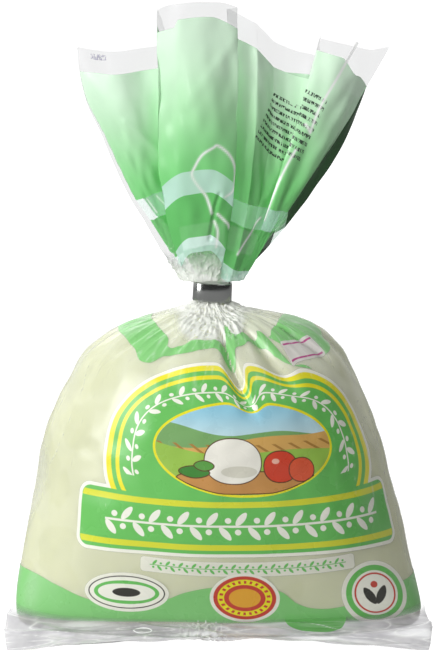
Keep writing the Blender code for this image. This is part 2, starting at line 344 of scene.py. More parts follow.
class Print:
    """Inks laid one over another on clear film, drawn in mm on the flat film."""

    def __init__(self, tree, clear, cover):
        self.tree = tree
        uv = add_node(tree, "ShaderNodeUVMap", uv_map="film").outputs[0]
        split = add_node(tree, "ShaderNodeSeparateXYZ", uv)
        self.round_share, self.up_share = split.outputs[0], split.outputs[1]
        self.around = self.calc("MULTIPLY_ADD", self.round_share, FILM_ROUND, -FILM_ROUND / 2)
        self.up = self.calc("MULTIPLY", self.up_share, PRINT_HEIGHT)
        self.colour = clear
        self.cover = cover

    def calc(self, *values, **settings):
        return calc(self.tree, *values, **settings)

    def edge(self, inward, blur=0.18):
        """1 where inward, in mm, is above zero, with a softened edge."""
        return self.calc("MULTIPLY_ADD", inward, 1 / blur, 0.5, clamp=True)

    def oval(self, centre, half, power=2.0, place=None, tilt=0.0):
        """How far inside an oval each place is, in mm. More power squares it."""
        across, up = place or (self.around, self.up)
        across = self.calc("SUBTRACT", across, centre[0])
        up = self.calc("SUBTRACT", up, centre[1])
        if tilt:
            turn, side = math.cos(math.radians(tilt)), math.sin(math.radians(tilt))
            across, up = (
                self.calc("MULTIPLY_ADD", across, turn, self.calc("MULTIPLY", up, side)),
                self.calc("MULTIPLY_ADD", up, turn, self.calc("MULTIPLY", across, -side)),
            )
        terms, slopes = [], []
        for value, size in ((across, half[0]), (up, half[1])):
            part = self.calc("DIVIDE", self.calc("ABSOLUTE", value), size)
            slope = self.calc("DIVIDE", self.calc("POWER", part, power - 1), size)
            terms.append(self.calc("POWER", part, power))
            slopes.append(self.calc("MULTIPLY", slope, slope))
        radius = self.calc("POWER", self.calc("ADD", *terms), 1 / power)
        steep = self.calc("SQRT", self.calc("ADD", *slopes))
        scale = self.calc("MAXIMUM", self.calc("POWER", radius, power - 1), 0.001)
        steep = self.calc("MAXIMUM", self.calc("DIVIDE", steep, scale), 0.001)
        return self.calc("DIVIDE", self.calc("SUBTRACT", 1.0, radius), steep)

    def box(self, centre, half, corner, place=None):
        """How far inside a round-cornered box each place is, in mm."""
        across, up = place or (self.around, self.up)
        outs = []
        for value, middle, size in ((across, centre[0], half[0]), (up, centre[1], half[1])):
            away = self.calc("ABSOLUTE", self.calc("SUBTRACT", value, middle))
            outs.append(self.calc("MAXIMUM", self.calc("SUBTRACT", away, size - corner), 0.0))
        squares = [self.calc("MULTIPLY", out, out) for out in outs]
        reach = self.calc("SQRT", self.calc("ADD", *squares))
        return self.calc("SUBTRACT", corner, reach)

    def line(self, points):
        """A smooth line round the bag: the height, in mm, at each place round it."""
        curve = add_node(self.tree, "ShaderNodeFloatCurve", 1.0, self.round_share)
        line = curve.mapping.curves[0]
        knots = [(around / FILM_ROUND + 0.5, up / PRINT_HEIGHT) for around, up in points]
        line.points[0].location = knots[0]
        line.points[1].location = knots[-1]
        for knot in knots[1:-1]:
            line.points.new(*knot)
        curve.mapping.update()
        return self.calc("MULTIPLY", curve.outputs[0], PRINT_HEIGHT)

    def between(self, low, high):
        """How far inside the band between two lines each place is, in mm."""
        above_low = self.calc("SUBTRACT", self.up, low)
        return self.calc("MINIMUM", above_low, self.calc("SUBTRACT", high, self.up))

    def lay(self, mask, colour, opacity=0.97):
        """Lays an ink where the mask is 1."""
        self.colour = blend_colours(self.tree, mask, self.colour, colour)
        ink = self.calc("MULTIPLY", mask, opacity)
        self.cover = self.calc("MAXIMUM", self.cover, ink)

    def mark(self, name):
        """How much of one kind of mark the film has at each place."""
        return add_node(self.tree, "ShaderNodeAttribute", attribute_name=name).outputs["Fac"]

    def lay_crease_white_and_glints(self, opacity):
        """Lays white along the film's sharp creases: partly stress whitening, partly painted glints and
        glare lines.
        """
        self.lay(self.mark("crease_white_and_glints"), srgb(254, 255, 253), opacity)

    def lay_inside(self, inward, colour, opacity=0.97):
        """Lays an ink where inward, in mm, is above zero."""
        self.lay(self.edge(inward), colour, opacity)


INK_GREEN = srgb(112, 200, 100)
INK_BAND = srgb(140, 213, 130)
INK_YELLOW = srgb(246, 236, 48)
INK_WHITE = srgb(250, 250, 236)

# The label, in mm on the film: where its middle is, how it sags and leans with
# the distance from there, and how much less the banner across it sags.
LABEL_MIDDLE = 10.5
LABEL_SAG = 0.00122
LABEL_LEAN = -0.012
BANNER_UP = 48.2
BANNER_FLATTER = 0.00077
BANNER_NARROWS = -0.00002
STRIP_UP = 32.6


def draw_label(ink):
    """The banner, the arch over it and the picture in the arch."""
    from_middle = ink.calc("SUBTRACT", ink.around, LABEL_MIDDLE)
    squared = ink.calc("MULTIPLY", from_middle, from_middle)
    lean = ink.calc("MULTIPLY", from_middle, LABEL_LEAN)
    sag = ink.calc("MULTIPLY_ADD", squared, LABEL_SAG, lean)
    place = (from_middle, ink.calc("SUBTRACT", ink.up, sag))
    arch = ink.oval((0, 71.5), (48.5, 33.0), 2.5, place)
    narrows = ink.calc("MULTIPLY_ADD", squared, BANNER_NARROWS, 1.0)
    flatter = ink.calc("MULTIPLY_ADD", squared, BANNER_FLATTER, place[1])
    flatter = ink.calc("MULTIPLY", ink.calc("SUBTRACT", flatter, BANNER_UP), narrows)
    across = ink.calc("ADD", from_middle, 1.4)
    banner = ink.box((0, 0), (54.6, 11.1), 4.4, (across, flatter))
    ink.lay_inside(ink.calc("MAXIMUM", arch, banner), INK_WHITE)
    draw_rings(ink, arch, ((1.2, INK_YELLOW), (3.1, INK_GREEN), (4.7, INK_YELLOW), (6.1, INK_GREEN)))
    draw_picture(ink, place)
    angle = ink.calc("ARCTAN2", from_middle, ink.calc("SUBTRACT", place[1], 62.0))
    along = ink.calc("MULTIPLY", angle, 33.0)
    draw_garland(ink, along, ink.calc("SUBTRACT", arch, 10.6), 7.4, 0.9, 51.0, INK_WHITE)
    ink.lay_inside(ink.calc("SUBTRACT", banner, 1.2), INK_GREEN)
    draw_garland(ink, from_middle, flatter, 9.2, 1.35, 46.0, INK_WHITE)
    for height in (7.5, -7.6):
        stripe = ink.box((0, height), (60, 1.0), 0.05, (across, flatter))
        ink.lay_inside(ink.calc("MINIMUM", stripe, ink.calc("SUBTRACT", banner, 1.4)), INK_YELLOW)
    strip = ink.box((0, STRIP_UP), (34.0, 2.7), 1.2, place)
    ink.lay_inside(strip, INK_WHITE, 0.85)
    beside = ink.calc("SUBTRACT", place[1], STRIP_UP)
    draw_garland(ink, from_middle, beside, 4.1, 0.52, 31.0, INK_GREEN)


def draw_rings(ink, shape, rings):
    """Inks laid one inside another, each from its distance inside the edge."""
    for inset, colour in rings:
        ink.lay_inside(ink.calc("SUBTRACT", shape, inset), colour)


def draw_garland(ink, along, beside, repeat, size, reach, colour):
    """A sprig of paired leaves and buds, repeated along a line."""
    start = ink.calc("ADD", along, repeat * 40.5)
    local = ink.calc("SUBTRACT", ink.calc("MODULO", start, repeat), repeat / 2)
    place = (local, beside)
    ends = ink.calc("SUBTRACT", reach, ink.calc("ABSOLUTE", along))
    stem = ink.calc("SUBTRACT", 0.28 * size, ink.calc("ABSOLUTE", beside))
    leaf = (2.1 * size, 0.85 * size)
    bud = (0.75 * size, 0.75 * size)
    parts = [
        ink.oval((-1.4 * size, 1.9 * size), leaf, 1.8, place, 52),
        ink.oval((1.5 * size, -1.9 * size), leaf, 1.8, place, -52),
        ink.oval((2.3 * size, 1.5 * size), bud, 2.0, place),
        ink.oval((-2.3 * size, -1.5 * size), bud, 2.0, place),
    ]
    sprig = stem
    for part in parts:
        sprig = ink.calc("MAXIMUM", sprig, part)
    ink.lay_inside(ink.calc("MINIMUM", sprig, ends), colour)


def draw_picture(ink, place):
    """An oval picture: a white cheese, tomatoes and leaves before fields."""
    oval = ink.oval((0.8, 74.6), (31.6, 16.4), 2.0, place)
    across, up = place
    ink.lay_inside(oval, INK_YELLOW)
    inside = ink.calc("SUBTRACT", oval, 0.9)
    ink.lay_inside(inside, srgb(150, 210, 232))
    haze = ink.calc("MULTIPLY", ink.edge(inside), ramp(ink.tree, up, 90, 76))
    ink.lay(haze, srgb(205, 234, 240))

    def hill(height, lean, waves, colour):
        """A field with a wavy top that leans to one side."""
        swing = ink.calc("SINE", ink.calc("MULTIPLY_ADD", across, waves, lean * 9))
        slope = ink.calc("MULTIPLY_ADD", across, lean, height)
        top = ink.calc("ADD", slope, ink.calc("MULTIPLY", swing, 1.1))
        ink.lay_inside(ink.calc("MINIMUM", ink.calc("SUBTRACT", top, up), inside), colour)

    hill(80.0, -0.06, 0.16, srgb(128, 176, 110))
    hill(77.0, 0.07, 0.13, srgb(222, 176, 100))
    furrows = ink.calc("SINE", ink.calc("MULTIPLY_ADD", across, 1.1, ink.calc("MULTIPLY", up, 1.6)))
    below = ink.calc("MINIMUM", ink.calc("SUBTRACT", 76.0, up), inside)
    ink.lay_inside(ink.calc("MINIMUM", ink.calc("SUBTRACT", furrows, 0.72), below), srgb(176, 130, 66))
    hill(73.5, -0.05, 0.11, srgb(158, 200, 84))

    def shape(centre, half, colour, power=2.0, edge_colour=None):
        """One rounded thing in the picture, with or without an outline."""
        body = ink.calc("MINIMUM", ink.oval(centre, half, power, place), inside)
        if edge_colour:
            ink.lay_inside(ink.calc("ADD", body, 0.35), edge_colour)
        ink.lay_inside(body, colour)

    brown = srgb(96, 62, 44)
    shape((0.5, 63.2), (23.0, 3.6), srgb(206, 150, 86), 3.0, brown)
    shape((-3.5, 70.6), (9.4, 7.6), srgb(250, 248, 236), 2.2, brown)
    shape((-1.6, 67.0), (6.0, 2.0), srgb(224, 222, 206))
    shape((12.5, 68.2), (5.6, 5.2), srgb(218, 74, 50), 2.2, brown)
    shape((19.6, 66.6), (4.2, 3.9), srgb(226, 96, 62), 2.2, brown)
    shape((10.9, 70.2), (1.3, 0.9), srgb(246, 190, 170))
    shape((-16.5, 66.6), (5.0, 1.9), srgb(70, 140, 60), 1.7, brown)
    shape((-13.2, 68.9), (3.2, 1.6), srgb(96, 164, 76), 1.7, brown)


def draw_marks(ink):
    """Three plain round marks in a row under the banner: one with a dark bar,
    one with a ring of beads, and one with two leaves and a berry."""
    dark = srgb(60, 60, 54)
    red = srgb(208, 74, 60)

    left = ink.oval((-28.0, 23.2), (13.3, 7.5))
    ink.lay_inside(left, INK_WHITE, 0.9)
    draw_rings(ink, left, ((1.2, dark), (1.6, INK_WHITE), (3.0, INK_GREEN), (4.3, INK_WHITE)))
    ink.lay_inside(ink.oval((-28.0, 23.2), (4.4, 1.7)), dark)

    middle = (8.6, 21.6)
    centre = ink.oval(middle, (10.8, 9.6))
    ink.lay_inside(centre, INK_WHITE, 0.9)
    draw_rings(ink, centre, ((1.1, red), (2.4, INK_YELLOW), (4.4, red), (5.9, srgb(240, 176, 60))))
    across, up = ink.calc("SUBTRACT", ink.around, middle[0]), ink.calc("SUBTRACT", ink.up, middle[1])
    dots = ink.calc("SINE", ink.calc("MULTIPLY", ink.calc("ARCTAN2", across, up), 22.0))
    beads = ink.calc("SUBTRACT", 0.55, ink.calc("ABSOLUTE", ink.calc("SUBTRACT", centre, 3.4)))
    ink.lay_inside(ink.calc("MINIMUM", beads, ink.calc("SUBTRACT", dots, 0.2)), red)

    right = ink.oval((50.0, 21.0), (11.2, 11.6))
    ink.lay_inside(right, INK_WHITE, 0.9)
    draw_rings(ink, right, ((1.5, INK_GREEN), (3.4, INK_WHITE), (4.2, red), (4.8, INK_WHITE)))
    for side in (-1, 1):
        leaf = ink.oval((50.0 + 1.9 * side, 20.2), (3.6, 1.5), 1.7, None, 62 * side)
        ink.lay_inside(leaf, dark)
    ink.lay_inside(ink.oval((50.0, 24.2), (1.2, 1.2)), red)


# The wavy bands: one near the bottom, one over the shoulders from the left and
# one from the right. Each lies between a lower and an upper line (round, up).
WAVY_BANDS = (
    (
        (
            (-147, 8), (-100, 9), (-68, 10), (-49, 10.5), (-15, 12), (8, 11), (19, 9),
            (24, 4), (33, 0.2), (41, 4), (47, 9), (68, 12), (100, 12), (147, 8),
        ),
        (
            (-147, 20), (-110, 24), (-75, 26.8), (-61, 27), (-51, 24), (-41, 20), (-34, 18.4),
            (-26, 18.6), (-17, 20.4), (-9, 24), (0, 26), (10, 26.5), (19.6, 24), (25, 18.8),
            (30, 16.8), (38, 16.9), (48, 20), (60, 23.5), (75, 25), (105, 20), (147, 20),
        ),
    ),
    (
        (
            (-147, 104), (-110, 106), (-86, 113), (-60, 112.7), (-43, 108.7), (-30, 103.6),
            (-25, 106.6), (-16, 107.4), (-6, 109.4), (5, 110.5), (14, 111), (19, 114.5),
            (24, 115.8), (29, 110.5), (34, 104.8), (38, 102.1), (45, 100), (90, 100), (147, 104),
        ),
        (
            (-147, 114), (-110, 117), (-86, 121), (-60, 120.6), (-39, 117), (-29, 113.6),
            (-24.6, 110), (-20, 111.2), (-14, 113.4), (-5, 113.4), (0, 114.5), (5, 121),
            (9, 117), (12, 116), (18, 118.9), (25, 118.8), (33, 107.6), (36, 103.4),
            (41, 102), (45, 99.5), (90, 99.5), (147, 104),
        ),
    ),
    (
        (
            (-147, 116), (-50, 122), (20, 122), (31, 114), (37, 109), (44, 105), (55, 104.5),
            (64, 107.5), (71, 112.7), (84, 119), (110, 110), (147, 104),
        ),
        (
            (-147, 114), (-50, 118), (20, 118), (31, 114.4), (36, 117), (49, 120), (64, 122),
            (84, 121), (110, 118), (147, 116),
        ),
    ),
)


def draw_waves(ink):
    """The wavy bands near the bottom and round the shoulders."""
    for low, high in WAVY_BANDS:
        ink.lay_inside(ink.between(ink.line(low), ink.line(high)), INK_BAND, 0.93)


def draw_tag(ink):
    """A small bare tag with two stripes, on the right shoulder."""
    across = ink.calc("SUBTRACT", ink.around, 45.3)
    up = ink.calc("SUBTRACT", ink.up, 108.0)
    place = (across, ink.calc("MULTIPLY_ADD", across, -0.05, up))
    tag = ink.box((0, 0), (10.4, 4.2), 1.2, place)
    ink.lay_inside(tag, srgb(232, 228, 222), 0.9)
    for height in (2.9, -2.9):
        stripe = ink.box((0, height), (9.6, 0.32), 0.1, place)
        ink.lay_inside(stripe, srgb(190, 70, 140))


def pouch_film_material():
    """Clear glossy film with inks, thin enough to show the brine behind it."""
    made, tree, shader = new_material("printed pouch film")
    ink = Print(tree, srgb(236, 238, 228), None)
    gathered = ink.mark("gathered")
    ink.colour = blend_colours(tree, gathered, ink.colour, srgb(252, 254, 246))
    ink.cover = calc(tree, "MULTIPLY_ADD", gathered, 0.76, 0.10)
    draw_waves(ink)
    draw_label(ink)
    draw_marks(ink)
    draw_tag(ink)
    # Painted reflection: whitish streaks laid over the print on the pouch's sides.
    ink.lay(calc(tree, "MULTIPLY", ink.mark("painted_sheen"), 0.42), srgb(240, 241, 238), 1.0)
    # White along the creases: partly stress whitening, partly painted glints and reflection streaks.
    ink.lay_crease_white_and_glints(0.9)
    tree.links.new(ink.colour, shader.inputs["Base Color"])
    tree.links.new(ink.cover, shader.inputs["Alpha"])
    coords = add_node(tree, "ShaderNodeTexCoord")
    haze = add_node(tree, "ShaderNodeTexNoise", coords.outputs["Object"], None, 90.0, 3.0)
    rough = calc(tree, "MULTIPLY_ADD", haze.outputs[0], 0.16, 0.20)
    tree.links.new(rough, shader.inputs["Roughness"])
    shader.inputs["IOR"].default_value = 1.5
    return made


points, around, print_up, marks = pouch_grid(POUCH_COLUMNS, POUCH_ROWS)
pouch_film = film_mesh("pouch_film", points, around, print_up, marks, caps=True)
pouch_film.data.materials.append(pouch_film_material())
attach(pouch_film, "root")
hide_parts("bag")


# ---------------------------------------------------------------------------
# The brine: cloudy salted whey with flecks of curd in it. It is poured in with
# the cheese, fills the pouch up to the neck and lies against the film.
# ---------------------------------------------------------------------------

BRINE_INSET = 0.2
BRINE_COLUMNS = 260
BRINE_ROWS = 130


def brine_material():
    """Cloudy, faintly green-yellow liquid, paler towards the top."""
    made, tree, shader = new_material("cloudy brine")
    coords = add_node(tree, "ShaderNodeTexCoord").outputs["Object"]
    height = add_node(tree, "ShaderNodeSeparateXYZ", coords).outputs[2]
    lift = ramp(tree, height, 0.06, 0.108)
    tint = blend_colours(tree, lift, srgb(226, 228, 192), srgb(232, 235, 214))
    cloud = add_node(tree, "ShaderNodeTexNoise", coords, None, 38.0, 3.0, 0.5)
    tint = blend_colours(tree, ramp(tree, cloud.outputs[0], 0.35, 0.7), tint, srgb(214, 217, 180))
    drift = add_node(tree, "ShaderNodeTexNoise", coords, None, 45.0, 2.0).outputs[1]
    sway = (0.03, 0.03, 0.03)
    moved = add_node(tree, "ShaderNodeVectorMath", drift, sway, coords, operation="MULTIPLY_ADD")
    patches = add_node(tree, "ShaderNodeTexVoronoi", moved.outputs[0], None, 48.0, feature="F1")
    patch = ramp(tree, patches.outputs["Distance"], 0.34, 0.42, 0.0, 0.2)
    tint = blend_colours(tree, patch, tint, srgb(238, 240, 214))
    tree.links.new(tint, shader.inputs["Base Color"])
    shader.inputs["Roughness"].default_value = 0.22
    shader.inputs["Subsurface Weight"].default_value = 0.35
    shader.inputs["Subsurface Radius"].default_value = (1.0, 1.0, 0.75)
    shader.inputs["Subsurface Scale"].default_value = 0.006
    return made


points, around, print_up, _ = pouch_grid(BRINE_COLUMNS, BRINE_ROWS, BRINE_INSET)
brine = film_mesh("brine", points, around, print_up, {}, caps=True)
brine.data.materials.append(brine_material())
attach(brine, "root")


# ---------------------------------------------------------------------------
# The mozzarella: one ball of pulled curd, smooth and slightly lumpy, that
# floats against the front of the pouch.
# ---------------------------------------------------------------------------

BALL_MIDDLE = (-2.0, -1.5, 42.0)
BALL_HALF = (44.0, 31.0, 38.0)
BALL_LUMPS = 0.025

bpy.ops.object.select_all(action="DESELECT")
bpy.ops.mesh.primitive_uv_sphere_add(segments=96, ring_count=64, radius=1)
ball = bpy.context.object
ball.name = "mozzarella_ball"
for vertex in ball.data.vertices:
    lump = ripple(np.array(vertex.co), 1.4, 11) * BALL_LUMPS
    sides = zip(BALL_MIDDLE, BALL_HALF, vertex.co)
    vertex.co = [(middle + half * value * (1 + lump)) * MM for middle, half, value in sides]
ball.data.shade_smooth()
made, tree, shader = new_material("fresh cheese")
coords = add_node(tree, "ShaderNodeTexCoord").outputs["Object"]
fibres = add_node(tree, "ShaderNodeTexNoise", coords, None, 60.0, 4.0).outputs[0]
curd = blend_colours(tree, fibres, srgb(250, 247, 236), srgb(240, 236, 220))
tree.links.new(curd, shader.inputs["Base Color"])
shader.inputs["Roughness"].default_value = 0.35
shader.inputs["Subsurface Weight"].default_value = 0.5
shader.inputs["Subsurface Scale"].default_value = 0.004
ball.data.materials.append(made)
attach(ball, "root")


# ---------------------------------------------------------------------------
# The gathered mouth: the same tube of film above the clip, spread in folds.
# It is printed green up to a clear margin, with clear bands near the clip.
# ---------------------------------------------------------------------------

clip_low, clip_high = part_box("clip")
NECK_X = round((clip_low.x + clip_high.x) / 2 / MM, 1)
NECK_HALF = (5.6, 3.3)
NECK_FROM = 111.8
NECK_TOP = 119.6
NECK_STEPS = 12
FAN_BLOOM = 1.7
FAN_ROWS = 190
FAN_PER_FOLD = 18

# Each fold of the mouth, in mm, anticlockwise from the left corner: where its
# rim is (across, back), the film's length to it, how early it spreads, how
# round it is (0 is a crease), how far the gather has pulled the film down into
# the clip, and the share of its length that the print covers.
FAN_FOLDS = (
    (-47.5, 1.0, 90.5, 1.38, 0.0, 6.5, 0.91),
    (-36.0, -4.5, 86.0, 1.6, 1.0, 6.5, 0.91),
    (-25.0, -3.0, 84.5, 2.4, 1.0, 6.0, 0.91),
    (-15.5, -1.5, 84.5, 3.2, 0.0, 5.0, 0.91),
    (-20.5, -8.0, 99.5, 4.4, 0.0, 2.5, 0.94),
    (-12.0, -12.2, 101.0, 4.0, 1.0, -2.4, 0.945),
    (-2.0, -12.8, 100.8, 3.7, 1.0, -2.5, 0.945),
    (6.8, -10.0, 98.5, 3.9, 0.2, 2.4, 0.925),
    (3.5, -3.0, 95.0, 3.6, 0.0, 9.0, 0.91),
    (13.2, -6.0, 92.5, 3.0, 0.3, 10.0, 0.91),
    (18.7, -0.5, 86.5, 2.4, 0.3, 11.0, 0.90),
    (26.0, 0.5, 84.5, 2.0, 1.0, 11.0, 0.90),
    (34.5, 0.0, 85.0, 1.7, 0.0, 11.0, 0.90),
    (35.0, -6.5, 93.5, 1.1, 0.0, 11.0, 0.93),
    (43.0, -9.0, 94.5, 1.1, 1.0, 11.0, 0.93),
    (51.0, -6.0, 95.5, 1.12, 1.0, 10.0, 0.88),
    (57.3, 0.5, 97.5, 1.1, 0.0, 9.0, 0.84),
    (51.5, 4.5, 95.0, 1.5, 0.2, 14.0, 0.82),
    (42.0, 6.0, 93.0, 1.6, 1.0, 20.0, 0.84),
    (32.0, 4.0, 92.0, 1.6, 0.3, 20.0, 0.86),
    (23.0, 7.5, 91.5, 1.7, 0.5, 20.0, 0.84),
    (13.0, 5.5, 93.5, 1.7, 0.3, 20.0, 0.78),
    (3.0, 8.0, 96.0, 1.7, 0.5, 20.0, 0.74),
    (-7.0, 6.0, 97.0, 1.7, 0.3, 20.0, 0.72),
    (-17.0, 8.5, 96.5, 1.7, 0.5, 20.0, 0.72),
    (-27.0, 6.0, 92.5, 1.6, 0.3, 20.0, 0.72),
    (-38.0, 7.0, 91.0, 1.5, 1.0, 14.0, 0.75),
)

# Creases that stand out from the folds: how far and how wide, in mm, how white
# the film is made there, partly stress whitening and partly painted glare, and the
# places they pass: (fold, mm up from the clip).
FAN_CREASES = (
    (0.0, 0.6, 1.0, ((14.44, 94.4), (14.22, 82.5), (13.94, 69.0), (13.95, 62), (14.0, 59))),
    (0.0, 0.6, 1.0, ((13.61, 61.4), (13.8, 60.4), (14.0, 58.9))),
    (0.0, 0.6, 1.0, ((13.61, 51.8), (13.33, 40.6), (13.15, 32), (13.04, 25))),
    (0.0, 0.6, 1.0, ((10.5, 26), (10.17, 23.5), (9.6, 18), (9.05, 13))),
    (0.0, 0.6, 1.0, (
        (6.06, 27.7), (5.94, 30.6), (5.78, 34), (5.5, 37.4), (5.28, 41.4), (5.39, 44.2),
        (5.67, 48.2), (6.06, 50.6), (6.17, 51.4), (6.39, 50), (6.67, 46.8), (6.94, 42.1),
        (6.96, 39), (6.9, 36), (6.5, 33.6),
    )),
    (0.0, 0.6, 1.0, ((6.28, 27.6), (6.5, 25.8), (6.94, 22.7))),
    (0.0, 0.6, 0.9, ((6.17, 24.9), (6.33, 21.4), (6.33, 15.8))),
    (0.0, 0.6, 0.8, ((1.2, 33.5), (1.7, 28))),
    (0.0, 0.6, 0.8, ((2.0, 33.5), (2.6, 27))),
    (0.5, 1.5, 0.0, ((1.2, 61), (2.2, 50), (2.9, 40))),
    (0.3, 2.0, 0.0, ((6.9, 90), (6.1, 78), (5.2, 66))),
    (-0.9, 0.6, 0.0, ((6.3, 34.5), (6.17, 29.4), (6.11, 24.3), (6.0, 18.7))),
    (0.5, 1.6, 0.0, ((10.6, 60), (10.9, 48), (10.7, 34))),
    (-0.5, 3.0, 0.0, ((14.9, 80), (14.6, 60), (14.3, 42))),
)
# How wide, in mm, the painted glare and whitening along each crease is.
CREASE_WHITE = 0.44
CREASE_REACH = 1.9

# The folds, counted from the left corner, where the top edge is cut lower, and
# those behind the right corner, whose green is painted dark as shade.
NOTCH = (3.95, 4.05, 4.8, 4.86)
PAINTED_SHADE_FOLDS = (16.02, 16.1, 17.2, 17.8)
CORNER_FOLD = 16


def line_distance(points, line):
    """How far each point is from a line through the given points."""
    nearest = np.full(points.shape[:-1], 1e9)
    for start, end in zip(line, line[1:]):
        way = end - start
        share = np.clip((points - start) @ way / max(way @ way, 1e-9), 0, 1)
        away = np.linalg.norm(points - start - share[..., None] * way, axis=-1)
        nearest = np.minimum(nearest, away)
    return nearest


def fan_paths():
    """The way of each fold from below the clip to the rim, and its lengths."""
    paths, lengths = [], []
    neck = np.array([NECK_X, 0])
    steps = FAN_ROWS - NECK_STEPS
    for i, (across, back, length, spread, *_) in enumerate(FAN_FOLDS):
        angle = math.pi + 2 * math.pi * i / len(FAN_FOLDS)
        start = neck + (NECK_HALF[0] * math.cos(angle), NECK_HALF[1] * math.sin(angle))
        bloom = (start - neck) * FAN_BLOOM + neck
        step = length / steps
        path = []
        for k in range(NECK_STEPS):
            path.append((*start, NECK_FROM + (NECK_TOP - NECK_FROM) * k / NECK_STEPS))
        path.append((*start, NECK_TOP))
        for k in range(1, steps):
            share = k / (steps - 1)
            settle = min(1.0, share * 30)
            opened = (np.array([across, back]) - bloom) * (1 - (1 - share) ** spread)
            flat = start + (bloom - start) * settle + opened
            moved = math.hypot(flat[0] - path[-1][0], flat[1] - path[-1][1])
            rise = math.sqrt(max(step**2 - moved**2, (0.2 * step) ** 2))
            path.append((*flat, path[-1][2] + rise))
        paths.append(path)
        in_neck = [(k - NECK_STEPS) * 0.6 for k in range(NECK_STEPS)]
        lengths.append(in_neck + [k * step for k in range(steps)])
    return np.array(paths), np.array(lengths)


def between_folds(values, roundness=0.0):
    """Values at every column, on a smooth line through the folds' own. The line
    is level at a fold whose roundness is 0."""
    after = np.roll(values, -1, axis=0)
    slopes = (after - np.roll(values, 1, axis=0)) / 2 * roundness
    next_slopes = np.roll(slopes, -1, axis=0)
    columns = []
    for i in range(len(values)):
        for k in range(FAN_PER_FOLD):
            share = k / FAN_PER_FOLD
            columns.append(
                values[i] * (2 * share**3 - 3 * share**2 + 1)
                + slopes[i] * (share**3 - 2 * share**2 + share)
                + after[i] * (3 * share**2 - 2 * share**3)
                + next_slopes[i] * (share**3 - share**2)
            )
    return np.array(columns)


def fan_relief(points, outward, around, ups, fold_at):
    """The mouth's points once ripples and creases have pushed them in or out,
    and how far the film is whitened along the creases at each: partly stress
    whitening, partly painted glare lines and glints."""
    push = 0.55 * ripple(np.stack([around, ups * 0.45], 2), 21, 21) * ease(ups, 14, 40)
    push += 0.16 * ripple(np.stack([around, ups * 0.5], 2), 7, 22) * ease(ups, 8, 30)
    crumpled_to = np.interp(fold_at, (0, 3, 7, 8, 16, 18, 27), (20, 19, 17, 9, 7, 15, 20))
    near = 1 - ease(ups, crumpled_to * 0.4, crumpled_to)
    coarse = creases(points, 4.0, 23) - 0.45
    fine = creases(points, 1.6, 24) - 0.45
    push += near * ease(ups, -1, 4) * (0.6 * coarse + 0.3 * fine)
    push *= 0.25 + 0.75 * ease(ups, 0, 10)
    # Painted glints: white flecks on the crumpled film near the clip.
    fine = creases(points * np.array([1, 1, 0.6]), 2.6, 25) ** 6
    crease_white_and_glints = 0.8 * near * ease(ups, 0, 3) * fine
    # Painted glare lines along the listed creases, partly stress whitening.
    for height, width, whitened, places in FAN_CREASES:
        away = line_distance(points, crease_line(points, ups, places))
        away[:, np.abs(fold_at - places[0][0]) > CREASE_REACH] = 1e3
        push += height * hump(away, width)
        crease_white_and_glints = np.maximum(crease_white_and_glints, whitened * hump(away, CREASE_WHITE))
    return points + outward * push[:, :, None], crease_white_and_glints


def crease_line(points, ups, places):
    """Points of the mouth along a smooth line through these places on it."""
    line = []
    for fold, up in smooth_rows(places, np.linspace(0, len(places) - 1, 8 * len(places))):
        column, beside = divmod(fold * FAN_PER_FOLD, 1)
        column = int(column)
        row = np.interp(up, ups[:, column], np.arange(FAN_ROWS))
        row, above = divmod(min(row, FAN_ROWS - 1.01), 1)
        row = int(row)
        near_four = points[row:row + 2, column:column + 2]
        near_two = near_four[0] * (1 - above) + near_four[1] * above
        line.append(near_two[0] * (1 - beside) + near_two[1] * beside)
    return np.array(line)


def fan_grid():
    """Points of the mouth, and for each its place round, up and as a share."""
    paths, lengths = fan_paths()
    folds = np.array(FAN_FOLDS)
    roundness, pulled, printed = folds[:, 4], folds[:, 5], folds[:, 6]
    points = between_folds(paths, roundness[:, None, None]).transpose(1, 0, 2)
    ups = between_folds(lengths).T
    pull = between_folds(pulled[:, None]).T
    printed = between_folds(printed[:, None]).T
    fold_at = np.arange(points.shape[1]) / FAN_PER_FOLD
    printed -= 0.025 * ease(fold_at, *NOTCH[:2]) * (1 - ease(fold_at, *NOTCH[2:]))
    share = ups / ups[-1:] / printed
    rim = points[-1]
    run = np.linalg.norm(np.roll(rim, -1, axis=0) - rim, axis=1)
    around = np.concatenate([[0], np.cumsum(run)[:-1]]) * FILM_ROUND / run.sum()
    around = np.tile(around - FILM_ROUND / 2, (FAN_ROWS, 1))
    points, crease_white_and_glints = fan_relief(points, grid_normals(points), around, ups, fold_at)
    from_corner = np.linalg.norm(points - points[:, :1], axis=2)
    wider_behind = np.where(fold_at > CORNER_FOLD, 1.5, 1.0)
    margin = 5.2 * np.clip(1 - ups / ups[-1:], 0, 1) ** 1.3 * wider_behind
    bare = 1 - ease(from_corner - margin, 0.0, 0.3)
    # Painted shade: marks the folds behind the right corner, whose green is painted dark.
    shade_share = ease(fold_at, *PAINTED_SHADE_FOLDS[:2]) * (1 - ease(fold_at, *PAINTED_SHADE_FOLDS[2:]))
    marks = {"crease_white_and_glints": crease_white_and_glints, "bare": bare, "shaded": np.tile(shade_share, (FAN_ROWS, 1))}
    return points, around, ups + pull, share, marks


BATCH_ROW = 2.4


